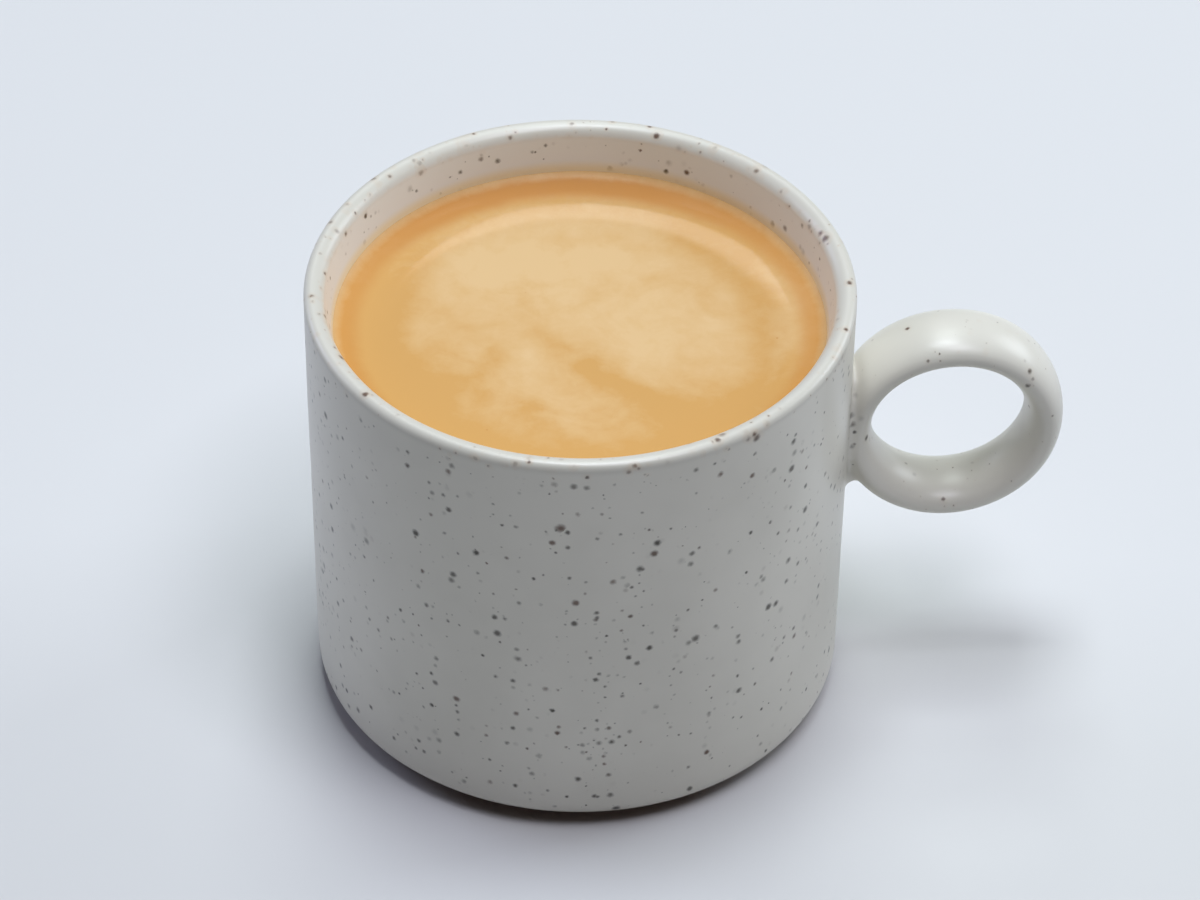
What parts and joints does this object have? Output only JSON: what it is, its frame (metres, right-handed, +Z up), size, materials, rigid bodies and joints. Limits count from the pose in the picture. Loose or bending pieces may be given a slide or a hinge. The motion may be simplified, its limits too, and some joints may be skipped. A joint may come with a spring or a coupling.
{
  "type": "cup of americano",
  "caption": "Round stoneware mug with an upright ring handle, filled with black coffee under a thin tan crema.",
  "frame": {"origin": "middle of the foot's flat underside, on the surface the mug stands on", "axes": "+Z up along the mug's turning axis, +X from that axis towards the ring handle"},
  "size_m": [0.1175, 0.084, 0.075],
  "materials": {
    "speckled_glaze": "satin off-white stoneware glaze with small dark brown speckles",
    "black_coffee": "wet, dark brown liquid",
    "crema_foam": "fine wet tan foam with a soft gloss"
  },
  "bodies": {
    "root": {"mug": "speckled_glaze", "coffee": "black_coffee", "crema": "crema_foam"}
  },
  "joints": []
}
